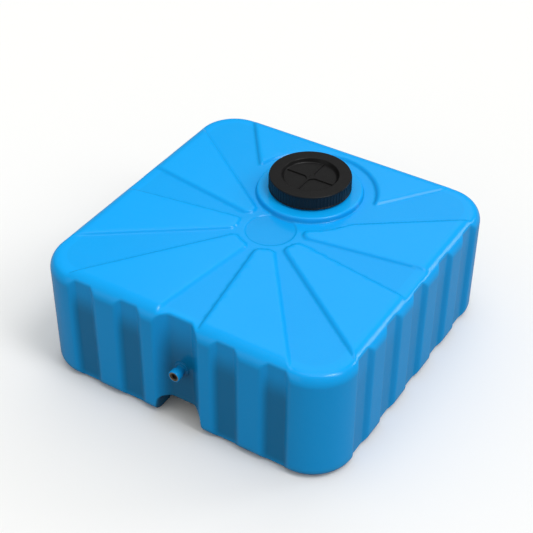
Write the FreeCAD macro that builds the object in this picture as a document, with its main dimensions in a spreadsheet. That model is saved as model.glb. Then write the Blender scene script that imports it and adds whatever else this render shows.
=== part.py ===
# Slimline water tank: a low, square, one-piece moulded plastic tank.
# It stands on its base with the outlet recess facing -Y. The origin is the centre
# of the base, +Z is up, and all sizes are in millimetres.
import FreeCAD, Part
import Sketcher
import math
import os
from FreeCAD import Placement, Rotation, Vector

SIZES = [
    # The moulded body.
    ("tank_side", 900.0),
    ("tank_height", 350.0),
    ("tank_wall", 5.0),
    ("corner_radius", 118.0),
    ("rim_radius", 42.0),
    ("base_radius", 29.0),
    ("cavity_bevel_share", 0.68),
    # Upright grooves that stiffen the side walls.
    ("groove_pitch", 144.5),
    ("groove_mouth", 82.0),
    ("groove_floor", 48.0),
    ("groove_depth", 10.5),
    ("grooves_per_side", 5),
    # Recess that shelters the outlet, and the channel under the base.
    ("recess_mouth", 137.0),
    ("recess_floor", 70.0),
    ("recess_depth", 27.0),
    ("channel_foot", 144.0),
    ("channel_ceiling", 124.0),
    ("channel_height", 58.0),
    # Raised pads of the top and the valleys between them.
    ("valley_depth", 8.0),
    ("valley_slope", 45.0),
    ("valley_step", 45.0),
    ("valley_spread", 8.6),
    ("valley_apex", 8.0),
    ("pad_nose_reach", 92.0),
    ("pad_nose_round", 17.0),
    ("left_valley_shift", 13.0),
    ("hub_radius", 70.0),
    ("hub_depth", 3.0),
    # Filler neck and the raised ring that it stands on.
    ("neck_setback", 243.5),
    ("neck_radius", 103.0),
    ("ring_shelf", 47.0),
    ("ring_taper", 4.0),
    ("ring_height", 16.0),
    ("moat_width", 37.0),
    ("neck_wall", 6.0),
    ("neck_height", 38.0),
    # Screw lid and its seal.
    ("thread_gap", 7.5),
    ("lid_wall", 3.5),
    ("lid_height", 39.5),
    ("dish_inset", 18.0),
    ("dish_taper", 5.5),
    ("dish_depth", 11.5),
    ("rib_width", 4.5),
    ("rib_height", 3.5),
    ("rib_end_gap", 5.5),
    ("hub_plate_reach", 20.0),
    ("seal_thickness", 3.0),
    ("seal_overlap", 2.0),
    # Outlet stub with its threaded metal insert.
    ("outlet_level", 172.0),
    ("outlet_radius", 16.5),
    ("outlet_reach", 37.0),
    ("outlet_foot_radius", 22.0),
    ("outlet_foot_height", 5.0),
    ("insert_radius", 12.0),
    ("insert_length", 28.0),
    ("insert_bore_radius", 9.315),
    ("passage_radius", 8.5),
]

doc = FreeCAD.newDocument("slimline_water_tank")
sheet = doc.addObject("Spreadsheet::Sheet", "Sizes")
for row, (alias, value) in enumerate(SIZES, start=1):
    sheet.set("A%d" % row, alias)
    sheet.set("B%d" % row, str(value))
    sheet.setAlias("B%d" % row, alias)
doc.recompute()

RING_TOP = "(Sizes.tank_height - Sizes.valley_depth + Sizes.ring_height)"
NECK_TOP = "(%s + Sizes.neck_height)" % RING_TOP
NECK_AXIS = "(Sizes.tank_side / 2 - Sizes.neck_setback)"
RING_FOOT = "(Sizes.neck_radius + Sizes.ring_shelf)"
DISH_RIM = "(Sizes.neck_radius - Sizes.neck_wall - Sizes.dish_inset)"
DISH_FLOOR = "(%s - Sizes.dish_taper)" % DISH_RIM
RECESS_FACE = "(Sizes.recess_depth - Sizes.tank_side / 2)"
OUTLET_MOUTH = "(%s - Sizes.outlet_reach)" % RECESS_FACE


def size(alias):
    """Value of one driving dimension."""
    return float(sheet.get(alias))


def bind(item, **expressions):
    """Bind properties to the sheet; a double underscore stands for a dot."""
    for key, expression in expressions.items():
        item.setExpression(key.replace("__", "."), expression)
    return item


# Sketches and features

def new_body(name):
    """Empty body that holds the features of one solid."""
    body = doc.addObject("PartDesign::Body", name)
    body.Label = name
    return body


def new_sketch(body, name, plane, corners, height="0"):
    """Sketch of a closed outline through corners, each a pair of expressions."""
    sketch = body.newObject("Sketcher::SketchObject", name)
    base = [f for f in body.Origin.OriginFeatures if f.Role == plane][0]
    sketch.AttachmentSupport = [(base, "")]
    sketch.MapMode = "FlatFace"
    if height != "0":
        bind(sketch, AttachmentOffset__Base__z=height)
    points = [Vector(*[float(sheet.evalExpression(part)) for part in corner], 0)
              for corner in corners]
    count = len(points)
    for i in range(count):
        sketch.addGeometry(Part.LineSegment(points[i], points[(i + 1) % count]), False)
    for i in range(count):
        sketch.addConstraint(Sketcher.Constraint("Coincident", i, 2, (i + 1) % count, 1))
    for i, corner in enumerate(corners):
        for kind, axis, part, value in (("DistanceX", -2, corner[0], points[i].x),
                                        ("DistanceY", -1, corner[1], points[i].y)):
            if part == "0":
                sketch.addConstraint(Sketcher.Constraint("PointOnObject", i, 1, axis))
                continue
            number = sketch.addConstraint(Sketcher.Constraint(kind, -1, 1, i, 1, value))
            sketch.setExpression("Constraints[%d]" % number, part)
    return sketch


def rectangle(half_x, half_y):
    """Corners of a rectangle centred on the origin."""
    return [("-(%s)" % half_x, "-(%s)" % half_y), (half_x, "-(%s)" % half_y),
            (half_x, half_y), ("-(%s)" % half_x, half_y)]


def trench(prefix, inset):
    """Corners of an outline that opens towards -Y, its walls moved in by an inset."""
    half_mouth = "Sizes.%s_mouth / 2" % prefix
    half_floor = "Sizes.%s_floor / 2" % prefix
    depth = "Sizes.%s_depth" % prefix
    slope = "((%s - %s) / %s)" % (half_mouth, half_floor, depth)
    side = "(%s * sqrt(1 + %s * %s))" % (inset, slope, slope)
    outer_x = "%s + %s * %s + %s" % (half_mouth, slope, depth, side)
    inner_x = "%s - %s * %s + %s" % (half_floor, slope, inset, side)
    outer_y = "-Sizes.tank_side / 2 - %s" % depth
    inner_y = "-Sizes.tank_side / 2 + %s + %s" % (depth, inset)
    return [("-(%s)" % outer_x, outer_y), ("-(%s)" % inner_x, inner_y),
            (inner_x, inner_y), (outer_x, outer_y)]


def channel(inset):
    """Corners of the channel under the base, in the XZ plane."""
    half_foot = "Sizes.channel_foot / 2"
    half_ceiling = "Sizes.channel_ceiling / 2"
    height = "Sizes.channel_height"
    slope = "((%s - %s) / %s)" % (half_foot, half_ceiling, height)
    side = "(%s * sqrt(1 + %s * %s))" % (inset, slope, slope)
    low_x = "%s + %s * %s + %s" % (half_foot, slope, height, side)
    high_x = "%s - %s * %s + %s" % (half_ceiling, slope, inset, side)
    high_y = "%s + %s" % (height, inset)
    return [("-(%s)" % low_x, "-" + height), ("-(%s)" % high_x, high_y),
            (high_x, high_y), (low_x, "-" + height)]


def add_pad(body, name, sketch, length):
    """Upward extrusion of a sketch."""
    pad = body.newObject("PartDesign::Pad", name)
    pad.Profile = sketch
    bind(pad, Length=length)
    doc.recompute()
    return pad


def add_pocket(body, name, sketch, both_ways):
    """Cut of a sketch through the whole body, upwards or both ways."""
    pocket = body.newObject("PartDesign::Pocket", name)
    pocket.Profile = sketch
    pocket.Type = 1
    pocket.Midplane = both_ways
    pocket.Reversed = not both_ways
    doc.recompute()
    return pocket


def add_edge_feature(body, kind, name, chosen, key, expression):
    """Fillet or chamfer of the chosen edges of the body's tip."""
    tip = body.Tip
    names = ["Edge%d" % (i + 1) for i, edge in enumerate(tip.Shape.Edges) if chosen(edge)]
    feature = body.newObject("PartDesign::" + kind, name)
    feature.Base = (tip, names)
    bind(feature, **{key: expression})
    doc.recompute()
    return feature


def add_revolution(body, name, sketch):
    """Full turn of a sketch around its own upright axis."""
    turned = body.newObject("PartDesign::Revolution", name)
    turned.Profile = sketch
    turned.ReferenceAxis = (sketch, ["V_Axis"])
    turned.Angle = 360
    doc.recompute()
    return turned


def upright(edge):
    """Whether an edge runs along Z."""
    box = edge.BoundBox
    return box.ZLength > box.XLength + box.YLength


# The moulded body

def form_body(name, inset, rim_kind, rim_key, rim_size, base_size):
    """Block with its grooves, recess and channel, shrunk by an inset on all sides."""
    body = new_body(name)
    half = "(Sizes.tank_side / 2 - %s)" % inset
    plan = new_sketch(body, name + "_plan", "XY_Plane", rectangle(half, half), inset)
    add_pad(body, name + "_block", plan, "Sizes.tank_height - 2 * %s" % inset)
    add_edge_feature(body, "Fillet", name + "_corners", upright, "Radius",
                     "Sizes.corner_radius - %s" % inset)
    middle = size("tank_height") / 2
    add_edge_feature(body, rim_kind, name + "_rim", lambda e: e.BoundBox.ZMin > middle,
                     rim_key, rim_size)
    add_edge_feature(body, rim_kind, name + "_base", lambda e: e.BoundBox.ZMax < middle / 2,
                     rim_key, base_size)
    add_groove_rows(body, name, inset)
    recess = new_sketch(body, name + "_recess_outline", "XY_Plane", trench("recess", inset))
    add_pocket(body, name + "_recess", recess, False)
    section = new_sketch(body, name + "_channel_outline", "XZ_Plane", channel(inset))
    add_pocket(body, name + "_channel", section, True)
    return body


def add_groove_rows(body, name, inset):
    """One groove, repeated along the front and then around the four sides."""
    span = "((Sizes.grooves_per_side - 1) * Sizes.groove_pitch)"
    first = [("%s - %s / 2" % (x, span), y) for x, y in trench("groove", inset)]
    outline = new_sketch(body, name + "_groove_outline", "XY_Plane", first)
    groove = add_pocket(body, name + "_groove", outline, False)
    rows = body.newObject("PartDesign::MultiTransform", name + "_groove_rows")
    rows.Originals = [groove]
    along = body.newObject("PartDesign::LinearPattern", name + "_groove_row")
    along.Direction = (outline, ["H_Axis"])
    bind(along, Length=span, Occurrences="Sizes.grooves_per_side")
    around = body.newObject("PartDesign::PolarPattern", name + "_groove_sides")
    around.Axis = (outline, ["N_Axis"])
    around.Angle = 360
    around.Occurrences = 4
    rows.Transformations = [along, around]
    body.Tip = rows
    doc.recompute()


def valley_outline(turn, shift):
    """Wedge of one valley, which widens from the hub out past the rim."""
    reach = 2 * size("tank_side")
    half = reach * math.tan(math.radians(size("valley_spread")))
    corners = [Vector(0, 0, 0), Vector(reach, -half, 0), Vector(reach, half, 0)]
    wedge = Part.Face(Part.makePolygon(corners + corners[:1]))
    wedge.translate(Vector(size("valley_apex"), shift, 0))
    wedge.rotate(Vector(0, 0, 0), Vector(0, 0, 1), turn)
    return wedge


def disc(radius, centre):
    """Round flat face."""
    return Part.Face(Part.Wire(Part.makeCircle(radius, centre, Vector(0, 0, 1))))


def pad_tops():
    """Tops of the raised pads, one flat face for each, their noses rounded.

    No pad lies between the hub and the neck.
    """
    shift = -size("left_valley_shift")
    step = size("valley_step")
    gaps = [valley_outline(number * step, 0) for number in (0, 1, 3, 6, 7)]
    gaps += [valley_outline(number * step, shift) for number in (4, 5)]
    gaps.append(disc(size("pad_nose_reach"), Vector(0, 0, 0)))
    neck = Vector(0, size("tank_side") / 2 - size("neck_setback"), 0)
    gaps.append(disc(size("neck_radius") + size("ring_shelf") + size("moat_width"), neck))
    across = Vector(neck.y * math.tan(math.radians(step)), 0, 0)
    gaps.append(Part.Face(Part.makePolygon([Vector(), neck + across, neck - across, Vector()])))
    reach = size("tank_side") / 2 + size("rim_radius")
    whole = Part.makePlane(2 * reach, 2 * reach, Vector(-reach, -reach, 0))
    nose = size("pad_nose_round")
    return [top for face in whole.cut(gaps).Faces
            for top in face.makeOffset2D(-nose).makeOffset2D(nose).Faces]


def relief(name, inset):
    """All that is cut away above the valleys, leaving the pads with sloping sides."""
    run = size("valley_depth") / math.tan(math.radians(size("valley_slope")))
    shrink = inset * math.tan(math.radians(size("valley_slope") / 2))
    top_level = size("tank_height") - inset
    floor_level = top_level - size("valley_depth")
    reach = 2 * size("tank_side")
    cutter = Part.makeBox(reach, reach, size("tank_height"),
                          Vector(-reach / 2, -reach / 2, floor_level))
    pads = []
    for outline in pad_tops():
        top = outline.makeOffset2D(-shrink).Faces[0] if shrink else outline
        foot = top.makeOffset2D(run)
        top.translate(Vector(0, 0, top_level))
        foot.translate(Vector(0, 0, floor_level))
        pads.append(Part.makeLoft([foot.OuterWire, top.OuterWire], True, True))
    dip = size("hub_depth")
    hub = Part.makeCone(size("hub_radius") + inset - dip, size("hub_radius") + inset, dip,
                        Vector(0, 0, floor_level - dip))
    feature = doc.addObject("Part::Feature", name)
    feature.Shape = cutter.cut(pads).fuse(hub)
    feature.Placement = Placement()
    return feature


def add_cone(name, low, high, height, z):
    """Upright cone around the filler neck."""
    cone = doc.addObject("Part::Cone", name)
    bind(cone, Radius1=low, Radius2=high, Height=height, Placement__Base__z=z,
         Placement__Base__y=NECK_AXIS)
    return cone


def add_neck_cylinder(name, radius, height, z):
    """Upright cylinder around the filler neck."""
    cylinder = doc.addObject("Part::Cylinder", name)
    bind(cylinder, Radius=radius, Height=height, Placement__Base__z=z,
         Placement__Base__y=NECK_AXIS)
    return cylinder


def add_outlet_solid(kind, name, y, **expressions):
    """Round solid on the outlet's axis, which runs from y towards +Y."""
    solid = doc.addObject(kind, name)
    solid.Placement = Placement(Vector(0, 0, 0), Rotation(Vector(1, 0, 0), -90))
    bind(solid, Placement__Base__y=y, Placement__Base__z="Sizes.outlet_level", **expressions)
    return solid


def join(name, shapes):
    """Fusion of several solids."""
    fusion = doc.addObject("Part::MultiFuse", name)
    fusion.Shapes = shapes
    return fusion


def subtract(name, base, tool):
    """First solid without the second."""
    cut = doc.addObject("Part::Cut", name)
    cut.Base = base
    cut.Tool = tool
    return cut


def add_tank_shell():
    """Hollow one-piece body with its ring, neck and outlet stub."""
    wall = "Sizes.tank_wall"
    share = "Sizes.cavity_bevel_share"
    outside = form_body("outside", "0", "Fillet", "Radius", "Sizes.rim_radius",
                        "Sizes.base_radius")
    cavity = form_body("cavity", wall, "Chamfer", "Size",
                       "(Sizes.rim_radius - %s) * %s" % (wall, share),
                       "(Sizes.base_radius - %s) * %s" % (wall, share))
    outside = subtract("outside_with_pads", outside, relief("relief", 0))
    cavity = subtract("cavity_with_pads", cavity, relief("cavity_relief", size("tank_wall")))
    low = "%s + Sizes.ring_taper / Sizes.ring_height * %s" % (RING_FOOT, wall)
    high = "%s - Sizes.ring_taper" % RING_FOOT
    height = "Sizes.ring_height + %s" % wall
    ring = add_cone("ring", low, high, height, "%s - (%s)" % (RING_TOP, height))
    ring_hollow = add_cone("ring_hollow", "%s - %s" % (low, wall), "%s - %s" % (high, wall),
                           height, "%s - (%s) - %s" % (RING_TOP, height, wall))
    neck = add_neck_cylinder("neck", "Sizes.neck_radius", "Sizes.neck_height + %s" % wall,
                             "%s - %s" % (RING_TOP, wall))
    neck_bore = add_neck_cylinder("neck_bore", "Sizes.neck_radius - Sizes.neck_wall",
                                  "Sizes.neck_height + 3 * %s" % wall,
                                  "%s - 2 * %s" % (RING_TOP, wall))
    stub = add_outlet_solid("Part::Cylinder", "stub", OUTLET_MOUTH, Radius="Sizes.outlet_radius",
                            Height="Sizes.outlet_reach + %s / 2" % wall)
    foot = add_outlet_solid("Part::Cone", "stub_foot", "%s - Sizes.outlet_foot_height" % RECESS_FACE,
                            Radius1="Sizes.outlet_radius", Radius2="Sizes.outlet_foot_radius",
                            Height="Sizes.outlet_foot_height + %s / 2" % wall)
    seat = add_outlet_solid("Part::Cylinder", "insert_seat", OUTLET_MOUTH,
                            Radius="Sizes.insert_radius", Height="Sizes.insert_length")
    passage = add_outlet_solid("Part::Cylinder", "outlet_passage", OUTLET_MOUTH,
                               Radius="Sizes.passage_radius",
                               Height="Sizes.outlet_reach + 2 * %s" % wall)
    moulded = join("moulded", [outside, ring, neck, stub, foot])
    hollow = join("hollow", [cavity, ring_hollow, neck_bore, seat, passage])
    shell = subtract("tank_shell", moulded, hollow)
    shell.Refine = True
    shell.Label = "tank_shell"
    doc.recompute()
    return shell


def add_outlet_insert():
    """Threaded metal bush held in the outlet stub."""
    body = new_body("outlet_insert")
    bore = "Sizes.insert_bore_radius"
    length = "Sizes.insert_length"
    profile = new_sketch(body, "insert_profile", "XZ_Plane", [
        (bore, "0"), ("Sizes.insert_radius", "0"), ("Sizes.insert_radius", length),
        (bore, length)])
    add_revolution(body, "insert_sleeve", profile)
    body.Placement = Placement(Vector(0, 0, 0), Rotation(Vector(1, 0, 0), -90))
    bind(body, Placement__Base__y=OUTLET_MOUTH, Placement__Base__z="Sizes.outlet_level")
    return body


def add_lid_seal():
    """Flat sealing ring that lies on the neck's rim."""
    body = new_body("lid_gasket")
    inner = "Sizes.neck_radius - Sizes.neck_wall - Sizes.seal_overlap"
    outer = "Sizes.neck_radius + Sizes.seal_overlap"
    profile = new_sketch(body, "seal_profile", "XZ_Plane", [
        (inner, "0"), (outer, "0"), (outer, "Sizes.seal_thickness"),
        (inner, "Sizes.seal_thickness")])
    add_revolution(body, "seal_ring", profile)
    bind(body, Placement__Base__y=NECK_AXIS, Placement__Base__z=NECK_TOP)
    return body


def add_lid():
    """Screw lid: skirt, plate with a round dish, and crossed ribs in the dish."""
    body = new_body("lid")
    wall = "Sizes.lid_wall"
    top = "Sizes.lid_height"
    inner = "Sizes.neck_radius + Sizes.thread_gap"
    outer = "%s + %s" % (inner, wall)
    floor = "%s - Sizes.dish_depth" % top
    profile = new_sketch(body, "lid_profile", "XZ_Plane", [
        (inner, "0"), (outer, "0"), (outer, top),
        (DISH_RIM, top), (DISH_FLOOR, floor), ("0", floor),
        ("0", "%s - %s" % (floor, wall)),
        ("%s + %s" % (DISH_FLOOR, wall), "%s - %s" % (floor, wall)),
        ("%s + %s" % (DISH_RIM, wall), "%s - %s" % (top, wall)),
        (inner, "%s - %s" % (top, wall))])
    add_revolution(body, "lid_bowl", profile)
    rib = new_sketch(body, "rib_outline", "XY_Plane",
                     rectangle("%s - Sizes.rib_end_gap" % DISH_FLOOR, "Sizes.rib_width / 2"), floor)
    rib_pad = add_pad(body, "rib", rib, "Sizes.rib_height")
    cross = body.newObject("PartDesign::PolarPattern", "rib_cross")
    cross.Originals = [rib_pad]
    cross.Axis = (rib, ["N_Axis"])
    cross.Angle = 180
    cross.Occurrences = 3
    body.Tip = cross
    doc.recompute()
    reach = "Sizes.hub_plate_reach"
    plate = new_sketch(body, "hub_plate_outline", "XY_Plane", [
        (reach, "0"), ("0", reach), ("-" + reach, "0"), ("0", "-" + reach)], floor)
    add_pad(body, "hub_plate", plate, "Sizes.rib_height")
    bind(body, Placement__Base__y=NECK_AXIS,
         Placement__Base__z="%s + Sizes.seal_thickness + %s - %s" % (NECK_TOP, wall, top))
    return body


parts = [add_tank_shell(), add_outlet_insert(), add_lid_seal(), add_lid()]
doc.recompute()

for item in doc.Objects:
    if "Invalid" in item.State or "Error" in item.State:
        raise RuntimeError("feature failed: " + item.Name)
for part in parts:
    if part.Shape.isNull() or not part.Shape.isValid():
        raise RuntimeError("bad solid: " + part.Label)

os.makedirs("parts", exist_ok=True)
for part in parts:
    part.Shape.exportStep("parts/%s.step" % part.Label)
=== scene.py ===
"""Looks of the slimline water tank: moulded skin, lid, outlet, materials, light and camera."""
import bmesh
import bpy
import math
import numpy as np
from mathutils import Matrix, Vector
from mathutils.geometry import delaunay_2d_cdt


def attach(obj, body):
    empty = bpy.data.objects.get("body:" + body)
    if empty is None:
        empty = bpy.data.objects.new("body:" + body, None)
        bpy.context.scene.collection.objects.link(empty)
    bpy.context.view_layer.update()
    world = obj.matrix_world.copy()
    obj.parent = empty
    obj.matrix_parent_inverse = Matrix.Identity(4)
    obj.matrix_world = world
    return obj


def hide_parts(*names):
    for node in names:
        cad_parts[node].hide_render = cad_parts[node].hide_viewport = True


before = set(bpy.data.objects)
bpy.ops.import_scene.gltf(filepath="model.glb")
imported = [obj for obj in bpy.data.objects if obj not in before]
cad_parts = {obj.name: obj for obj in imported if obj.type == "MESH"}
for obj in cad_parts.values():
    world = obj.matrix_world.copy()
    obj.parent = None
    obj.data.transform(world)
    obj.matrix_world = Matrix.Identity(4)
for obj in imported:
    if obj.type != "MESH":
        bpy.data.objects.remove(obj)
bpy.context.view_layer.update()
MM = 0.001

# Sizes of the tank in millimetres, as in the solids.
HALF, TOP = 450.0, 350.0
CORNER, RIM, BASE = 118.0, 42.0, 29.0
# Grooves and recess: half the mouth's width, half the floor's width, depth.
PITCH, GROOVE = 144.5, (41.0, 24.0, 10.5)
RECESS = (68.5, 35.0, 27.0)
# Channel under the base: half its width at the foot and at the ceiling, height.
CHANNEL = (72.0, 62.0, 58.0)
VALLEY, PAD_LEAN, SPREAD, APEX, SHIFT = 7.5, 0.40, 8.6, 8.0, 13.0
NOSE_REACH, NOSE_ROUND, MOAT_ROUND = 92.0, 17.0, 9.0
HUB, HUB_DIP = 70.0, 3.0
NECK_Y, NECK_R, NECK_BORE, NECK_TOP = 206.5, 103.0, 97.0, 396.0
RING_FOOT, RING_TAPER, RING_TOP, MOAT = 150.0, 4.0, 358.0, 187.0
OUTLET_Z, OUTLET_Y = 172.0, -460.0

# How far the moulding's edges and inside corners are rounded.
GROOVE_SOFT, RECESS_SOFT, MOUTH_SOFT = 1.6, 5.0, 3.0
PAD_FOOT_SOFT, PAD_EDGE_SOFT = 4.5, 8.0
RING_EDGE, RING_FOOT_SOFT = 4.0, 2.0
CHANNEL_ROUND, CHANNEL_SOFT = 12.0, 6.0

# How far apart the skin's mesh points lie: wide apart on plain faces, close where the form turns.
WALL_GAP, LINE_GAP, CIRCLE_GAP = 6.2, 3.9, 4.2
TOP_COARSE, TOP_FINE = 15.0, 6.5
BASE_COARSE, BASE_FINE, CHANNEL_EDGES = 24.0, 5.0, (44.0, 82.0)

# Painted shade in the hollows, 0 to 1: strongest on the front, which the lamps miss, faint on the lamp-lit
# right.
FRONT_PAINTED_SHADE, RIGHT_PAINTED_SHADE, SIDE_PAINTED_SHADE, RECESS_PAINTED_SHADE = 0.70, 0.18, 0.45, 0.93
VALLEY_PAINTED_SHADE, HUB_PAINTED_SHADE, STEP_PAINTED_SHADE, CHANNEL_PAINTED_SHADE = 0.06, 0.14, 0.38, 0.95
# Heights over which the painted shade fades in, and place and width of the painted shade lines at the pad
# steps and the ring's foot.
GROOVE_SHADE_FADE, RECESS_SHADE_FADE = (312.0, 228.0), (335.0, 180.0)
STEP_SHADE_LINE, STEP_SHADE_WIDTH, RING_SHADE_WIDTH = 3.4, 1.6, 1.8


def linear(code):
    """Linear colour of an sRGB hex value."""
    parts = [int(code[i:i + 2], 16) / 255.0 for i in (0, 2, 4)]
    return tuple(c / 12.92 if c <= 0.04045 else ((c + 0.055) / 1.055) ** 2.4 for c in parts) + (1.0,)


# The moulded skin. Its grooves run out through a rounded rim and its pads melt into their valleys,
# which cutting and bevelling leave creased, so this one piece is taken from a smooth field, negative inside.

def soft_max(a, b, k):
    """Larger of two fields, rounded where they meet."""
    h = np.maximum(k - np.abs(a - b), 0.0)
    return np.maximum(a, b) + h * h / (4.0 * k)


def soft_min(a, b, k):
    """Smaller of two fields, rounded where they meet."""
    return -soft_max(-a, -b, k)


def round_max(a, b, r):
    """Meeting of two fields with a round corner of radius r."""
    u = np.maximum(a + r, 0.0)
    v = np.maximum(b + r, 0.0)
    return np.minimum(np.maximum(a, b), -r) + np.hypot(u, v)


def plan_field(x, y):
    """Distance to the body's outline seen from above."""
    qx = np.abs(x) - (HALF - CORNER)
    qy = np.abs(y) - (HALF - CORNER)
    return np.hypot(np.maximum(qx, 0), np.maximum(qy, 0)) + np.minimum(np.maximum(qx, qy), 0) - CORNER


def trench_field(u, v, sizes, k):
    """Field of a trapezoid trench: u across it, v inwards from the wall."""
    mouth, floor, depth = sizes
    slope = (mouth - floor) / depth
    side = (np.abs(u) - mouth + slope * v) / math.hypot(1.0, slope)
    return soft_max(side, v - depth, k)


def wall_trenches(x, y):
    """All grooves and the recess as one field, negative inside them."""
    field = np.full_like(x, 1e3)
    for step in range(-2, 3):
        c = step * PITCH
        if step:
            field = np.minimum(field, trench_field(x - c, y + HALF, GROOVE, GROOVE_SOFT))
        field = np.minimum(field, trench_field(x - c, HALF - y, GROOVE, GROOVE_SOFT))
        field = np.minimum(field, trench_field(y - c, HALF - x, GROOVE, GROOVE_SOFT))
        field = np.minimum(field, trench_field(y - c, HALF + x, GROOVE, GROOVE_SOFT))
    return np.minimum(field, trench_field(x, y + HALF, RECESS, RECESS_SOFT))


def wedge_field(x, y, turn, shift):
    """Field of one valley's outline, negative inside the valley."""
    a = math.radians(turn)
    s = math.radians(SPREAD)
    along = x * math.cos(a) + y * math.sin(a) - APEX
    across = y * math.cos(a) - x * math.sin(a) - shift
    return np.abs(across) * math.cos(s) - along * math.sin(s)


# Valleys between the pads: direction in degrees, and how far each lies to the left of its line.
VALLEYS = [(0, 0.0), (45, 0.0), (135, 3.0), (180, -SHIFT), (225, -SHIFT), (270, 0.0), (315, 0.0)]


def pad_field(x, y):
    """Distance to the nearest pad's top outline, negative on the pads."""
    wedges = np.full_like(x, 1e3)
    for turn, shift in VALLEYS:
        wedges = np.minimum(wedges, wedge_field(x, y, turn, shift))
    disc = np.hypot(x, y) - NOSE_REACH
    moat = np.where((x < 0) & (y < -x), 1e3, np.hypot(x, y - NECK_Y) - MOAT)
    return round_max(round_max(-wedges, -disc, NOSE_ROUND), -moat, MOAT_ROUND)


def channel_field(x, z):
    """Field of the channel under the base, negative inside it."""
    mouth, ceiling, height = CHANNEL
    slope = (mouth - ceiling) / height
    side = (np.abs(x) - mouth + slope * z) / math.hypot(1.0, slope)
    return round_max(side, z - height, CHANNEL_ROUND)


def skin(p):
    """Field of the whole moulded skin at points p in millimetres."""
    x, y, z = p[:, 0], p[:, 1], p[:, 2]
    plan = plan_field(x, y)
    upper = round_max(plan, z - TOP, RIM)
    lower = round_max(plan, -z, BASE)
    body = np.maximum(upper, lower)
    body = soft_max(body, -wall_trenches(x, y), MOUTH_SOFT)
    radius = np.hypot(x, y)
    dip = HUB_DIP / (1.0 + np.exp(np.clip((radius - HUB + 1.5) / 0.8, -40, 40)))
    floor = z - (TOP - VALLEY - dip)
    pads = (pad_field(x, y) + PAD_LEAN * (z - TOP)) / math.hypot(1.0, PAD_LEAN)
    body = soft_max(body, soft_min(floor, pads, PAD_FOOT_SOFT), PAD_EDGE_SOFT)
    ring = np.hypot(x, y - NECK_Y) - RING_FOOT + RING_TAPER * np.clip((z - TOP + VALLEY) / 16.0, -1, 2)
    ring = round_max(np.maximum(ring, TOP - 60 - z), z - RING_TOP, RING_EDGE)
    body = soft_min(body, ring, RING_FOOT_SOFT)
    return soft_max(body, -channel_field(x, z), CHANNEL_SOFT)


def fall(z, high, low):
    """Smooth rise from 0 at the upper height to 1 at the lower one."""
    t = np.clip((high - z) / (high - low), 0, 1)
    return t * t * (3 - 2 * t)


def hollow(p):
    """Painted shade of the grooves, recess, channel, valleys, pad sides facing away from the lamps and
    ring's foot, 0 on plain faces.
    """
    x, y, z = p[:, 0], p[:, 1], p[:, 2]
    plan = plan_field(x, y)
    deep = -np.maximum(round_max(plan, z - TOP, RIM), round_max(plan, -z, BASE))
    on_trench = np.clip(1 - wall_trenches(x, y) / 6.0, 0, 1)
    # Painted shade is strongest on the front, which the lamps miss, and faint on the lamp-lit right.
    front, right = -y > np.abs(x), x > np.abs(y)
    strength = np.where(front, FRONT_PAINTED_SHADE, np.where(right, RIGHT_PAINTED_SHADE, SIDE_PAINTED_SHADE))
    groove = strength * np.clip(deep / GROOVE[2], 0, 1) * fall(z, *GROOVE_SHADE_FADE)
    recess = RECESS_PAINTED_SHADE * np.clip(deep / RECESS[2], 0, 1) * fall(z, *RECESS_SHADE_FADE)
    sunk = np.interp(TOP - z, (1.0, VALLEY, VALLEY + HUB_DIP), (0.0, VALLEY_PAINTED_SHADE, HUB_PAINTED_SHADE))
    sunk = np.where(plan < -45, sunk, 0.0)
    # Painted shade inside the channel under the base.
    channel = CHANNEL_PAINTED_SHADE * np.clip(1.5 - np.abs(channel_field(x, z)) / 4.0, 0, 1)
    walls = np.maximum(on_trench * np.where(front & (np.abs(x) < RECESS[0] + 6), recess, groove), channel)
    # Only the pad sides that face away from the lamps on the right get painted shade.
    leftwards = np.clip((pad_field(x - 1, y) - pad_field(x + 1, y)) / 2, 0, 1)
    steps = np.exp(-((pad_field(x, y) - STEP_SHADE_LINE) / STEP_SHADE_WIDTH) ** 2) * (z > TOP - VALLEY - 1) * leftwards
    # Painted shade in the crease at the ring's foot.
    ring = np.exp(-((np.hypot(x, y - NECK_Y) - RING_FOOT + 1.0) / RING_SHADE_WIDTH) ** 2) * (z < TOP + 4)
    return walls + np.maximum(sunk, STEP_PAINTED_SHADE * np.maximum(steps, ring) * (plan < -20))


def cast(origin, direction, reach):
    """Points where rays from inside leave the skin."""
    low = np.zeros(len(origin))
    high = np.full(len(origin), float(reach))
    for _ in range(26):
        mid = (low + high) / 2
        inside = skin(origin + direction * mid[:, None]) < 0
        low = np.where(inside, mid, low)
        high = np.where(inside, high, mid)
    return origin + direction * ((low + high) / 2)[:, None]


def slopes(p):
    """Unit normals of the skin at points p."""
    step = 0.25
    n = np.zeros_like(p)
    for axis in range(3):
        d = np.zeros(3)
        d[axis] = step
        n[:, axis] = skin(p + d) - skin(p - d)
    return n / np.linalg.norm(n, axis=1)[:, None]


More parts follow.
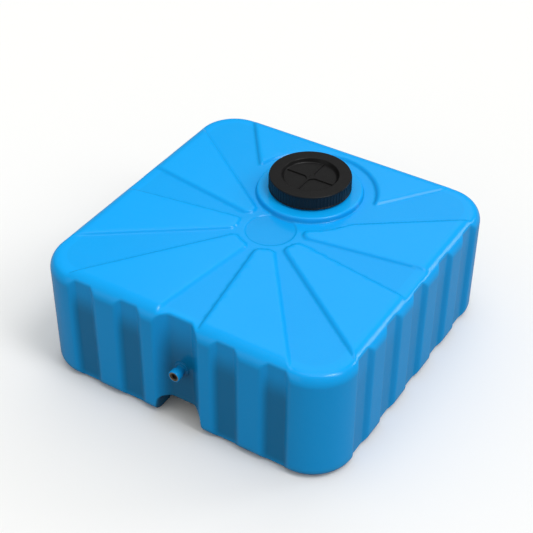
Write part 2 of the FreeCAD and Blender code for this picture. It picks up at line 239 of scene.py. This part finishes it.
def perimeter():
    """Points round the outline with their inward directions, fine at each groove."""
    marks = [0, 8, 15, 20, 22.5, 24, 25.5, 28, 32.5, 37, 39.5, 41, 42.5, 45, 49]
    fine = set()
    for step in range(-2, 3):
        for m in marks:
            fine.update((step * PITCH + m, step * PITCH - m))
    straight = HALF - CORNER
    recess = {v * s for v in (0, 10, 20, 28, 32, 35, 38, 43, 50, 57, 63, 66.5, 68.5, 70.5, 74, 80)
              for s in (-1, 1)}
    channel = {v * s for v in (50, 54, 57, 60, 63, 66, 69, 72, 76) for s in (-1, 1)}
    out = []
    for side in range(4):
        values = set(fine)
        if side == 0:
            values = {v for v in values if abs(v) > 82} | recess | channel
        if side == 2:
            values |= channel
        values = sorted(v for v in values if abs(v) < straight - 0.5)
        row = [-straight]
        for v in values + [straight]:
            gap = v - row[-1]
            if gap < 1.1 and v != straight:
                continue
            parts = max(1, math.ceil(gap / WALL_GAP))
            row += [row[-1] + gap * (i + 1) / parts for i in range(parts)]
        a = math.radians(90 * side)
        c, s = math.cos(a), math.sin(a)
        for v in row:
            out.append((v * c + HALF * s, v * s - HALF * c, -s, c))
        centre = (straight * c + straight * s, straight * s - straight * c)
        for i in range(1, 34):
            t = a - math.pi / 2 + math.pi / 2 * i / 34
            nx, ny = math.cos(t), math.sin(t)
            out.append((centre[0] + CORNER * nx, centre[1] + CORNER * ny, -nx, -ny))
    return np.array(out)


def side_grid():
    """Skin points of the walls, rim and lower edge: rows of rays round the outline."""
    ring = perimeter()
    count = len(ring)
    rows = []
    low_in, low_z, up_in, up_z = 62.0, 92.0, 56.0, 288.0
    for t in np.concatenate([np.linspace(0, 50, 15)[:-1], np.linspace(50, 90, 10)]):
        rows.append((low_in, low_z, math.radians(t) - math.pi / 2))
    for z in (125.0, 150.0, 160.0, 166.0, 172.0, 178.0, 184.0, 194.0, 220.0, 236.0, 252.0, 270.0):
        rows.append((up_in, z, 0.0))
    for t in np.linspace(0, 90, 31):
        rows.append((up_in, up_z, math.radians(t)))
    points = []
    for inset, z, angle in rows:
        origin = np.zeros((count, 3))
        origin[:, 0] = ring[:, 0] + ring[:, 2] * inset
        origin[:, 1] = ring[:, 1] + ring[:, 3] * inset
        origin[:, 2] = z
        d = np.zeros((count, 3))
        d[:, 0] = -ring[:, 2] * math.cos(angle)
        d[:, 1] = -ring[:, 3] * math.cos(angle)
        d[:, 2] = math.sin(angle)
        points.append(cast(origin, d, 140.0))
    faces = []
    for r in range(len(rows) - 1):
        for i in range(count):
            j = (i + 1) % count
            faces.append((r * count + i, r * count + j, (r + 1) * count + j, (r + 1) * count + i))
    return np.vstack(points), faces, count


def cap(rim, upwards, coarse, fine, wanted, lines=None):
    """Skin points inside a rim loop: coarse, fine where a rule wants it, and along any lines given."""
    low, high = rim.min(axis=0), rim.max(axis=0)
    grid = []
    for pitch, keep in ((coarse, False), (fine, True)):
        gx, gy = np.meshgrid(np.arange(low[0] + pitch / 2, high[0], pitch),
                             np.arange(low[1] + pitch / 2, high[1], pitch))
        pts = np.stack([gx.ravel(), gy.ravel()], axis=1)
        grid.append(pts[wanted(pts[:, 0], pts[:, 1]) == keep])
    pts = np.vstack(grid)
    if lines is not None:
        pts = np.vstack([pts[clear_of_lines(pts[:, 0], pts[:, 1])], lines])
    inset = HALF - rim[:, 0].max()
    pts = pts[plan_field(pts[:, 0], pts[:, 1]) < -inset - 2.0]
    both = np.vstack([rim[:, :2], pts])
    count = len(rim)
    edges = [(i, (i + 1) % count) for i in range(count)]
    verts, _, faces, origs, _, _ = delaunay_2d_cdt([Vector(p) for p in both], edges, [], 1, 1e-4)
    flat = np.array([tuple(v) for v in verts])
    origin = np.zeros((len(flat), 3))
    origin[:, :2] = flat
    origin[:, 2] = 300.0 if upwards else 100.0
    direction = np.zeros((len(flat), 3))
    direction[:, 2] = 1.0 if upwards else -1.0
    out = cast(origin, direction, 130.0)
    for i, source in enumerate(origs):
        if source and source[0] < count:
            out[i] = rim[source[0]]
    faces = [tuple(f) if upwards else tuple(reversed(f)) for f in faces]
    return out, faces


# Contours that the top's points follow: distances from the pads' outline, then radii.
PAD_LINES = (-3.2, -2.0, -1.1, -0.3, 0.5, 1.2, 1.9, 2.6, 3.4, 4.6)
RING_LINES = (140.0, 141.6, 142.8, 143.8, 144.6, 145.3, 145.9, 146.5, 147.2, 147.9, 148.6, 149.3, 150.2,
              151.4, 153.0)
HUB_LINES = (65.0, 66.4, 67.5, 68.5, 69.5, 70.6, 72.0)
NECK_LINES = (98.0, 100.0)


def clear_of_lines(x, y):
    """Where no contour line of the relief runs."""
    pad, neck, hub = pad_field(x, y), np.hypot(x, y - NECK_Y), np.hypot(x, y)
    return (((pad < PAD_LINES[0] - 2) | (pad > PAD_LINES[-1] + 2))
            & ((neck < RING_LINES[0] - 2) | (neck > RING_LINES[-1] + 2)) & (np.abs(neck - 99) > 3)
            & ((hub < HUB_LINES[0] - 2) | (hub > HUB_LINES[-1] + 2)))


def circles(middle, radii):
    """Points round circles about a middle on the centre line."""
    out = []
    for radius in radii:
        count = int(2 * math.pi * radius / CIRCLE_GAP)
        for i in range(count):
            a = 2 * math.pi * i / count
            out.append((radius * math.cos(a), middle + radius * math.sin(a)))
    return np.array(out)


def pad_slopes(x, y):
    """How the pads' distance grows along x and along y."""
    along_x = pad_field(x + 0.2, y) - pad_field(x - 0.2, y)
    along_y = pad_field(x, y + 0.2) - pad_field(x, y - 0.2)
    return np.stack([along_x, along_y], axis=1) / 0.4


def relief_lines():
    """Points along the contours of the pads, ring, hub and neck, so that no edge looks ragged."""
    out = []
    gx, gy = np.meshgrid(np.arange(-420, 421, 2.5), np.arange(-420, 421, 2.5))
    start = np.stack([gx.ravel(), gy.ravel()], axis=1)
    start = start[np.abs(pad_field(start[:, 0], start[:, 1])) < 9]
    for level in PAD_LINES:
        p = start.copy()
        for _ in range(6):
            here = pad_field(p[:, 0], p[:, 1])
            slope = pad_slopes(p[:, 0], p[:, 1])
            size = np.maximum((slope ** 2).sum(axis=1), 0.25)
            p -= slope * ((here - level) / size)[:, None]
        p = p[np.abs(pad_field(p[:, 0], p[:, 1]) - level) < 0.05]
        cells = {}
        for x, y in p:
            cells.setdefault((round(x / LINE_GAP), round(y / LINE_GAP)), (x, y))
        out += list(cells.values())
    pads = np.array(out)
    hub, ring = circles(0.0, HUB_LINES), circles(NECK_Y, RING_LINES + NECK_LINES)
    hub = hub[pad_field(hub[:, 0], hub[:, 1]) > PAD_LINES[-1] + 1]
    around = np.vstack([pads, hub])
    neck = np.hypot(around[:, 0], around[:, 1] - NECK_Y)
    return np.vstack([around[(neck < RING_LINES[0] - 1) | (neck > RING_LINES[-1] + 1)], ring])


def relief_wanted(x, y):
    """Where the top needs fine points."""
    pad, neck, hub = pad_field(x, y), np.hypot(x, y - NECK_Y), np.hypot(x, y)
    on_neck = (np.abs(neck - RING_FOOT + 3) < 16) | (np.abs(neck - 99) < 9)
    return (np.abs(pad - 1) < 13) | (np.abs(hub - HUB) < 12) | on_neck


def channel_wanted(x, y):
    """Where the base needs fine points: along the channel's edges."""
    return (np.abs(x) > CHANNEL_EDGES[0]) & (np.abs(x) < CHANNEL_EDGES[1])


def new_object(name, points, faces, normals):
    """Smooth mesh object in metres from points in millimetres and their normals."""
    mesh = bpy.data.meshes.new(name)
    mesh.from_pydata([tuple(v) for v in points * MM], [], faces)
    mesh.polygons.foreach_set("use_smooth", [True] * len(mesh.polygons))
    mesh.update()
    mesh.normals_split_custom_set_from_vertices([tuple(n) for n in normals])
    piece = bpy.data.objects.new(name, mesh)
    bpy.context.scene.collection.objects.link(piece)
    return piece


def weld(parts):
    """One list of points and faces, with coincident points joined."""
    points = np.vstack([p for p, _ in parts])
    faces = []
    start = 0
    for p, f in parts:
        faces += [tuple(i + start for i in face) for face in f]
        start += len(p)
    keys = {}
    index = np.zeros(len(points), int)
    keep = []
    for i, k in enumerate(map(tuple, np.round(points / 0.02).astype(int))):
        if k not in keys:
            keys[k] = len(keep)
            keep.append(i)
        index[i] = keys[k]
    out = []
    for face in faces:
        ring = []
        for i in face:
            j = int(index[i])
            if not ring or (ring[-1] != j and ring[0] != j):
                ring.append(j)
        if len(ring) > 2:
            out.append(tuple(ring))
    return points[keep], out


def moulded_skin():
    """Outer skin of the tank as one welded mesh with normals from its field, and its painted shade per
    point.
    """
    sides, side_faces, count = side_grid()
    lower, lower_faces = cap(sides[:count], False, BASE_COARSE, BASE_FINE, channel_wanted)
    upper, upper_faces = cap(sides[-count:], True, TOP_COARSE, TOP_FINE, relief_wanted, relief_lines())
    points, faces = weld([(sides, side_faces), (lower, lower_faces), (upper, upper_faces)])
    mids = np.array([points[list(f)].mean(axis=0) for f in faces])
    neck = (np.hypot(mids[:, 0], mids[:, 1] - NECK_Y) < 100) & (mids[:, 2] > 340)
    bore = (np.hypot(mids[:, 0], mids[:, 2] - OUTLET_Z) < 10) & (mids[:, 1] < -400)
    faces = [f for f, gone in zip(faces, neck | bore) if not gone]
    piece = new_object("moulded_skin", points, faces, slopes(points))
    # Stores each point's painted shade, which darkens the plastic's colour in the hollows.
    piece.data.attributes.new("hollow", "FLOAT", "POINT").data.foreach_set("value", hollow(points))
    return piece


# Pieces modelled by hand: outlines drawn out point by point, rounded, spun, screwed, inset and copied.

def edit(piece):
    """Opens a piece for editing with everything selected."""
    bpy.ops.object.mode_set(mode="EDIT")
    bpy.ops.mesh.select_mode(type="VERT")
    bpy.ops.mesh.select_all(action="SELECT")


def pick(piece, wanted):
    """Selects the points of an open piece whose place in millimetres is wanted."""
    bpy.ops.mesh.select_all(action="DESELECT")
    made = bmesh.from_edit_mesh(piece.data)
    for point in made.verts:
        point.select = bool(wanted(point.co / MM))
    made.select_flush(True)
    bmesh.update_edit_mesh(piece.data)


def drawn(name, corners):
    """Open piece with one line through corners (x, y, z, round), each rounded as far as it says."""
    bpy.ops.object.select_all(action="DESELECT")
    bpy.ops.mesh.primitive_plane_add(size=MM)
    piece = bpy.context.active_object
    piece.name = name
    edit(piece)
    bpy.ops.mesh.merge(type="CENTER")
    bpy.ops.transform.translate(value=Vector(corners[0][:3]) * MM)
    for start, end in zip(corners, corners[1:]):
        step = Vector(end[:3]) - Vector(start[:3])
        bpy.ops.mesh.extrude_region_move(TRANSFORM_OT_translate={"value": step * MM})
    for x, y, z, reach in corners:
        if reach:
            pick(piece, lambda p: (p - Vector((x, y, z))).length < 0.01)
            bpy.ops.mesh.bevel(offset=reach * MM, segments=5, affect="VERTICES")
    return piece


def close_up(piece, place, tilt=0.0):
    """Merges a piece's seams, turns its faces outwards, smooths it and sets it in its place for good."""
    edit(piece)
    bpy.ops.mesh.remove_doubles(threshold=0.002 * MM)
    bpy.ops.mesh.normals_make_consistent(inside=False)
    bpy.ops.object.mode_set(mode="OBJECT")
    bpy.ops.object.shade_smooth_by_angle(angle=math.radians(40))
    bpy.ops.object.modifier_add(type="WEIGHTED_NORMAL")
    piece.modifiers[-1].keep_sharp = True
    bpy.ops.object.modifier_apply(modifier=piece.modifiers[-1].name)
    piece.location = Vector(place) * MM
    piece.rotation_euler = (tilt, 0, 0)
    bpy.ops.object.transform_apply(location=True, rotation=True, scale=True)
    return piece


def screwed(piece, steps, turns=1.0, lead=0.0):
    """Sweeps a piece's line round its upright axis, climbing by the lead each turn."""
    bpy.ops.object.mode_set(mode="OBJECT")
    bpy.ops.object.modifier_add(type="SCREW")
    sweep = piece.modifiers[-1]
    sweep.angle = 2 * math.pi * turns
    sweep.screw_offset = lead * turns * MM
    sweep.steps = sweep.render_steps = steps
    bpy.ops.object.modifier_apply(modifier=sweep.name)


def turned(name, profile, steps, place, tilt=0.0):
    """Turned piece from a profile of corners (radius, height, round)."""
    piece = drawn(name, [(r, 0, z, reach) for r, z, reach in profile])
    screwed(piece, steps)
    return close_up(piece, place, tilt)


def thread(name, root, crest, lead, starts, low, high, flank, place, tilt=0.0):
    """Closed helical ridge between two heights, blunt at its ends, copied for each start."""
    out = 1 if crest > root else -1
    section = [(root - 0.4 * out, -flank), (root, -flank), (crest - 0.4 * out, -0.4 * flank),
               (crest, -0.2 * flank), (crest, 0.2 * flank), (crest - 0.4 * out, 0.4 * flank),
               (root, flank), (root - 0.4 * out, flank), (root - 0.4 * out, -flank)]
    piece = drawn(name, [(r, 0, low + z, 0) for r, z in section])
    turns = (high - low) / lead
    screwed(piece, int(72 * turns), turns, lead)
    edit(piece)
    bpy.ops.mesh.remove_doubles(threshold=0.002 * MM)
    bpy.ops.mesh.select_all(action="DESELECT")
    bpy.ops.mesh.select_non_manifold()
    bpy.ops.mesh.fill_holes(sides=0)
    bpy.ops.mesh.select_all(action="SELECT")
    if starts == 2:
        bpy.ops.mesh.duplicate()
        bpy.ops.transform.rotate(value=math.pi, orient_axis="Z", center_override=(0, 0, 0))
    return close_up(piece, place, tilt)


def cavity_skin():
    """Inside of the tank, taken from a merged copy of the solid's own mesh."""
    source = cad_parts["tank_shell"].data.copy()
    made = bmesh.new()
    made.from_mesh(source)
    bmesh.ops.remove_doubles(made, verts=made.verts, dist=0.00001)
    made.faces.ensure_lookup_table()
    mids = np.array([f.calc_center_median() for f in made.faces]) / MM
    depth = skin(mids)
    neck = np.hypot(mids[:, 0], mids[:, 1] - NECK_Y)
    drop = (depth > -2.6) | (mids[:, 2] > TOP - 4.5) & (neck < RING_FOOT + 2) | (mids[:, 1] < -417.4)
    bmesh.ops.delete(made, geom=[f for f, gone in zip(made.faces, drop) if gone], context="FACES")
    made.to_mesh(source)
    made.free()
    for poly in source.polygons:
        poly.use_smooth = False
    piece = bpy.data.objects.new("cavity", source)
    bpy.context.scene.collection.objects.link(piece)
    return piece


def join(name, pieces):
    """One piece of several."""
    bpy.ops.object.select_all(action="DESELECT")
    for piece in pieces:
        piece.select_set(True)
    bpy.context.view_layer.objects.active = pieces[0]
    bpy.ops.object.join()
    pieces[0].name = name
    return pieces[0]


# Materials.

def add(tree, kind, settings=(), links=()):
    """Adds a node with its settings and its links from other nodes' sockets."""
    made = tree.nodes.new("ShaderNode" + kind)
    for key, value in dict(settings).items():
        if isinstance(key, int) or key in made.inputs:
            made.inputs[key].default_value = value
        else:
            setattr(made, key, value)
    for key, source in dict(links).items():
        tree.links.new(source, made.inputs[key])
    return made


def blank(name, settings):
    """New material with the plain values of its shader set."""
    made = bpy.data.materials.new(name)
    made.use_nodes = True
    shader = made.node_tree.nodes["Principled BSDF"]
    for key, value in settings.items():
        shader.inputs[key].default_value = value
    return made, made.node_tree, shader


def per_metre(size):
    """Pattern scale for features of a size in millimetres."""
    return 1.0 / (size * MM)


def moulded_polyethylene():
    """Blue polyethylene, moulded: an even strong blue, darkened by painted shade in its hollows, with a
    satin skin, faintly pebbled by the mould.
    """
    made, tree, shader = blank("moulded_polyethylene", {"Specular IOR Level": 0.33})
    place = add(tree, "TexCoord").outputs["Object"]
    cloud = add(tree, "TexNoise", {"Scale": per_metre(200), "Detail": 3.0}, {"Vector": place})
    body = add(tree, "Mix", {"data_type": "RGBA", 6: linear("08A6F9"), 7: linear("0EAAFC")},
               {0: cloud.outputs["Fac"]})
    # Painted shade: the stored shade darkens the blue towards a deep blue in the grooves, recess, valleys
    # and shaded steps.
    shade_level = add(tree, "Attribute", {"attribute_name": "hollow"})
    shaded = add(tree, "Mix", {"data_type": "RGBA", 7: linear("086898")},
                 {0: shade_level.outputs["Fac"], 6: body.outputs[2]})
    tree.links.new(shaded.outputs[2], shader.inputs["Base Color"])
    patches = add(tree, "TexNoise", {"Scale": per_metre(16), "Detail": 4.0}, {"Vector": place})
    satin = add(tree, "MapRange", {"From Min": 0.3, "From Max": 0.7, "To Min": 0.18, "To Max": 0.22},
                {"Value": patches.outputs["Fac"]})
    tree.links.new(satin.outputs["Result"], shader.inputs["Roughness"])
    pebbles = add(tree, "TexNoise", {"Scale": per_metre(1.1), "Detail": 2.0}, {"Vector": place})
    skin_bump = add(tree, "Bump", {"Strength": 0.3, "Distance": 0.03 * MM},
                    {"Height": pebbles.outputs["Fac"]})
    tree.links.new(skin_bump.outputs["Normal"], shader.inputs["Normal"])
    return made


def moulded_polypropylene():
    """Black polypropylene, injection moulded: near black, dulled by the mould's fine grain."""
    made, tree, shader = blank("moulded_polypropylene", {"Specular IOR Level": 0.3})
    place = add(tree, "TexCoord").outputs["Object"]
    cloud = add(tree, "TexNoise", {"Scale": per_metre(33), "Detail": 3.0}, {"Vector": place})
    body = add(tree, "Mix", {"data_type": "RGBA", 6: linear("151516"), 7: linear("1A1A1B")},
               {0: cloud.outputs["Fac"]})
    tree.links.new(body.outputs[2], shader.inputs["Base Color"])
    patches = add(tree, "TexNoise", {"Scale": per_metre(7), "Detail": 4.0}, {"Vector": place})
    dull = add(tree, "MapRange", {"From Min": 0.3, "From Max": 0.7, "To Min": 0.30, "To Max": 0.40},
               {"Value": patches.outputs["Fac"]})
    tree.links.new(dull.outputs["Result"], shader.inputs["Roughness"])
    grain = add(tree, "TexNoise", {"Scale": per_metre(0.6), "Detail": 2.0}, {"Vector": place})
    grain_bump = add(tree, "Bump", {"Strength": 0.6, "Distance": 0.05 * MM},
                     {"Height": grain.outputs["Fac"]})
    tree.links.new(grain_bump.outputs["Normal"], shader.inputs["Normal"])
    return made


def sealing_rubber():
    """Sealing rubber, cut from sheet: dark and matt, with a dusty bloom."""
    made, tree, shader = blank("sealing_rubber", {"Roughness": 0.8})
    place = add(tree, "TexCoord").outputs["Object"]
    bloom = add(tree, "TexNoise", {"Scale": per_metre(4.5), "Detail": 3.0}, {"Vector": place})
    body = add(tree, "Mix", {"data_type": "RGBA", 6: linear("1C1C1E"), 7: linear("343436")},
               {0: bloom.outputs["Fac"]})
    tree.links.new(body.outputs[2], shader.inputs["Base Color"])
    grain = add(tree, "TexNoise", {"Scale": per_metre(0.8), "Detail": 2.0}, {"Vector": place})
    grain_bump = add(tree, "Bump", {"Strength": 0.6, "Distance": 0.05 * MM},
                     {"Height": grain.outputs["Fac"]})
    tree.links.new(grain_bump.outputs["Normal"], shader.inputs["Normal"])
    return made


def turned_brass():
    """Brass, turned and dulled by air: a greyed warm metal with fine tool rings round its axis."""
    made, tree, shader = blank("turned_brass", {"Metallic": 1.0})
    place = add(tree, "TexCoord").outputs["Object"]
    tarnish = add(tree, "TexNoise", {"Scale": per_metre(5.5), "Detail": 3.0}, {"Vector": place})
    body = add(tree, "Mix", {"data_type": "RGBA", 6: linear("A39684"), 7: linear("BCB0A0")},
               {0: tarnish.outputs["Fac"]})
    tree.links.new(body.outputs[2], shader.inputs["Base Color"])
    patches = add(tree, "TexNoise", {"Scale": per_metre(2), "Detail": 3.0}, {"Vector": place})
    dull = add(tree, "MapRange", {"From Min": 0.3, "From Max": 0.7, "To Min": 0.34, "To Max": 0.5},
               {"Value": patches.outputs["Fac"]})
    tree.links.new(dull.outputs["Result"], shader.inputs["Roughness"])
    along = add(tree, "Mapping", {"Scale": (1.0, 60.0, 1.0)}, {"Vector": place})
    rings = add(tree, "TexNoise", {"Scale": per_metre(16), "Detail": 2.0},
                {"Vector": along.outputs["Vector"]})
    ring_bump = add(tree, "Bump", {"Strength": 0.5, "Distance": 0.04 * MM},
                    {"Height": rings.outputs["Fac"]})
    tree.links.new(ring_bump.outputs["Normal"], shader.inputs["Normal"])
    return made


def dress(piece, made, body, node):
    """Gives a piece its material, body and slot, in place of a solid."""
    piece.data.materials.clear()
    piece.data.materials.append(made)
    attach(piece, body)
    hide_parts(node)


# The tank with its neck and outlet stub.

NECK = (0.0, NECK_Y, 0.0)
OUTLET = (0.0, OUTLET_Y, OUTLET_Z)
FORWARD = math.radians(90)

neck = turned("neck", [
    (NECK_BORE - 0.1, 352.5, 0), (NECK_BORE, NECK_TOP, 1.5), (NECK_R, NECK_TOP, 1.5),
    (NECK_R, RING_TOP, 3.0), (107, RING_TOP - 0.4, 0)], 128, NECK)
neck_thread = thread("neck_thread", NECK_R, 107.2, 12.0, 2, 370.0, 391.0, 2.4, NECK)
stub = turned("stub", [
    (27, -37.6, 0), (22, -37.0, 0.8), (21.4, -33.2, 1.4), (13.6, -32.4, 1.4), (13.6, -19.0, 0.6),
    (16.5, -18.2, 0.8), (16.5, 0, 2.0), (13.7, 0, 0.2), (13.7, -0.8, 0), (12.05, -0.8, 0),
    (12.0, -28.0, 0), (8.5, -28.0, 0), (8.5, -42.0, 0)], 72, OUTLET, FORWARD)
# Painted shade on the stub, darker towards the recess that it stands in.
shade = stub.data.attributes.new("hollow", "FLOAT", "POINT")
for point, shade_level in zip(stub.data.vertices, shade.data):
    shade_level.value = float(np.interp(point.co.y / MM, (-460, -455, -442, -424), (0.2, 0.38, 0.6, 0.9)))
tank = join("tank_moulding", [moulded_skin(), cavity_skin(), neck, neck_thread, stub])
dress(tank, moulded_polyethylene(), "tank", "tank_shell")

sleeve = turned("sleeve", [
    (12.0, -28.0, 0), (12.0, -0.8, 0), (13.6, -0.8, 0), (13.6, 0, 0.3), (10.9, 0, 0.3),
    (10.4, -1.0, 0), (10.4, -24.0, 0), (9.3, -25.0, 0), (9.3, -28.0, 0), (12.0, -28.0, 0)],
    72, OUTLET, FORWARD)
inner_thread = thread("inner_thread", 10.5, 9.4, 1.814, 1, -24.0, -1.4, 0.75, OUTLET, FORWARD)
insert = join("threaded_insert", [sleeve, inner_thread])
dress(insert, turned_brass(), "tank", "outlet_insert")

seal = turned("seal", [
    (95, 397.5, 0), (95, 399, 0.9), (105, 399, 0.9), (105, NECK_TOP, 0.9), (95, NECK_TOP, 0.9),
    (95, 397.5, 0)], 128, NECK)
dress(seal, sealing_rubber(), "gasket_carrier", "lid_gasket")


# The lid: one turned body with a sunk middle, grip ribs, a low raised cross and its thread.

RIBS, RIB_ROUND, RIB_PROUD, SKIRT_R = 72, 3.2, 1.2, 113.9


def grip_ribs():
    """Fine upright ribs round the skirt, one rounded bar modelled and copied round the lid."""
    bpy.ops.object.select_all(action="DESELECT")
    bpy.ops.mesh.primitive_cylinder_add(vertices=16, radius=RIB_ROUND * MM, depth=31.0 * MM)
    piece = bpy.context.active_object
    piece.name = "grip_ribs"
    edit(piece)
    pick(piece, lambda p: p.x < -RIB_ROUND * 0.3)
    bpy.ops.mesh.delete(type="VERT")
    pick(piece, lambda p: abs(p.z) > 15.0)
    bpy.ops.mesh.bevel(offset=1.2 * MM, segments=2, affect="EDGES")
    bpy.ops.mesh.select_all(action="SELECT")
    bpy.ops.transform.translate(value=((SKIRT_R + RIB_PROUD - RIB_ROUND) * MM, 0, 382.7 * MM))
    bpy.ops.mesh.spin(steps=RIBS - 1, angle=2 * math.pi * (RIBS - 1) / RIBS, dupli=True, center=(0, 0, 0),
                      axis=(0, 0, 1))
    return close_up(piece, NECK)


def cross_outline(reach, half, hub, dip):
    """Outline of four crossed ribs that meet in a hub with concave sides."""
    quarter = [(reach, -half), (reach, half)]
    for k in range(9):
        t = k / 8
        a, b = hub - (hub - half) * t, half + (hub - half) * t
        sink = dip * 4 * t * (1 - t) / math.sqrt(2.0)
        quarter.append((a - sink, b - sink))
    out = []
    for turn in range(4):
        c, w = round(math.cos(turn * math.pi / 2)), round(math.sin(turn * math.pi / 2))
        out += [(x * c - y * w, x * w + y * c) for x, y in quarter]
    return out


def raised_cross():
    """Cross in the lid's sunk middle: its outline filled, then inset upwards for sloping sides."""
    outline = cross_outline(72.0, 2.3, 17.5, 2.6)
    piece = drawn("cross", [(x, y, 390.8, 0) for x, y in outline])
    bpy.ops.mesh.select_all(action="SELECT")
    bpy.ops.mesh.edge_face_add()
    if bmesh.from_edit_mesh(piece.data).faces[:][0].normal.z < 0:
        bpy.ops.mesh.flip_normals()
    for inwards, upwards in ((0.35, 2.8), (0.27, 0.63), (0.63, 0.27)):
        bpy.ops.mesh.inset(thickness=inwards * MM, depth=upwards * MM)
    return close_up(piece, NECK)


lid_body = turned("lid_body", [
    (0, 387.5, 0), (77.0, 387.5, 1.2), (82.5, 399.0, 1.5), (110.5, 399.0, 0), (110.5, 363, 0.8),
    (115.4, 363, 0.9), (115.4, 365.6, 0.9), (SKIRT_R, 367.0, 0), (SKIRT_R - 0.2, 402.5, 2.2),
    (79.0, 402.5, 1.6), (73.5, 391.0, 3.4), (0, 391.0, 0)], 144, NECK)
lid_thread = thread("lid_thread", 110.5, 106.5, 12.0, 2, 367.0, 388.0, 2.4, NECK)
gate_mark = turned("gate_mark", [(5.2, 394.0, 0), (4.8, 395.2, 0.4), (3.2, 395.2, 0.4), (2.8, 394.0, 0)],
                   24, NECK)
lid = join("screw_lid", [lid_body, grip_ribs(), raised_cross(), gate_mark, lid_thread])
dress(lid, moulded_polypropylene(), "lid", "lid")


# Floor, light and camera.

# How pale the floor is to the camera, in reflections and in what it throws back.
FLOOR_SEEN = (0.88, 0.88, 0.90, 1.0)
FLOOR_SHOWN = (0.27, 0.27, 0.27, 1.0)
FLOOR_FELT = (0.12, 0.12, 0.12, 1.0)
SKY, SKY_SHEEN, SKY_COLOUR = 0.63, 0.05, (1.0, 1.0, 0.93, 1.0)
# Lamps: name, azimuth (0 in front of the outlet, 90 on the right), elevation, strength, width in degrees.
LAMPS = [
    ("key_low", 90, 35, 0.17, 18), ("key", 90, 50, 0.33, 18), ("key_high", 90, 65, 0.64, 18),
    ("rim", 140, 25, 0.33, 18), ("front", 340, 14, 0.15, 40), ("back", 195, 50, 0.2, 40),
    ("top", 0, 90, 0.35, 40),
]


def lamp(name, azimuth, elevation, strength, width):
    """Soft distant light."""
    data = bpy.data.lights.new(name, "SUN")
    data.energy = strength
    data.angle = math.radians(width)
    made = bpy.data.objects.new(name, data)
    a, e = math.radians(azimuth), math.radians(elevation)
    way = Vector((math.sin(a) * math.cos(e), -math.cos(a) * math.cos(e), math.sin(e)))
    made.rotation_euler = (-way).to_track_quat("-Z", "Y").to_euler()
    bpy.context.scene.collection.objects.link(made)


def floor_plate():
    """Plain pale floor: bright to the camera, less bright in what it throws back."""
    bpy.ops.object.select_all(action="DESELECT")
    bpy.ops.mesh.primitive_plane_add(size=60.0)
    plate = bpy.context.active_object
    plate.name = "floor_plate"
    made = bpy.data.materials.new("pale_floor")
    made.use_nodes = True
    tree = made.node_tree
    tree.nodes.remove(tree.nodes["Principled BSDF"])
    seen = add(tree, "BsdfDiffuse", {"Color": FLOOR_SEEN})
    shown = add(tree, "BsdfDiffuse", {"Color": FLOOR_SHOWN})
    felt = add(tree, "BsdfDiffuse", {"Color": FLOOR_FELT})
    rays = add(tree, "LightPath")
    unseen = add(tree, "MixShader", (), {
        0: rays.outputs["Is Glossy Ray"], 1: felt.outputs[0], 2: shown.outputs[0]})
    either = add(tree, "MixShader", (), {
        0: rays.outputs["Is Camera Ray"], 1: unseen.outputs[0], 2: seen.outputs[0]})
    tree.links.new(either.outputs[0], tree.nodes["Material Output"].inputs["Surface"])
    plate.data.materials.append(made)


def open_sky():
    """Even sky, dimmer where the plastic mirrors it."""
    world = bpy.data.worlds.new("studio")
    bpy.context.scene.world = world
    world.use_nodes = True
    tree = world.node_tree
    sky = tree.nodes["Background"]
    sky.inputs["Color"].default_value = SKY_COLOUR
    sky.inputs["Strength"].default_value = SKY
    sheen = add(tree, "Background", {"Color": SKY_COLOUR, "Strength": SKY_SHEEN})
    rays = add(tree, "LightPath")
    either = add(tree, "MixShader", (), {
        0: rays.outputs["Is Glossy Ray"], 1: sky.outputs[0], 2: sheen.outputs[0]})
    tree.links.new(either.outputs[0], tree.nodes["World Output"].inputs["Surface"])


CAMERA_PLACE, CAMERA_TILT, CAMERA_LENS = (1.4121, -2.3096, 2.3793), (51.3772, -0.3289, 31.9236), 85.784


def aim_camera():
    """Camera that looks down on the tank from its front right corner."""
    lens = bpy.data.cameras.new("camera")
    lens.sensor_width = 36.0
    lens.lens = CAMERA_LENS
    lens.clip_end = 100.0
    camera = bpy.data.objects.new("camera", lens)
    camera.location = CAMERA_PLACE
    camera.rotation_euler = [math.radians(turn) for turn in CAMERA_TILT]
    bpy.context.scene.collection.objects.link(camera)
    bpy.context.scene.camera = camera


floor_plate()
for spec in LAMPS:
    lamp(*spec)
open_sky()
aim_camera()
bpy.context.scene.view_settings.view_transform = "Standard"
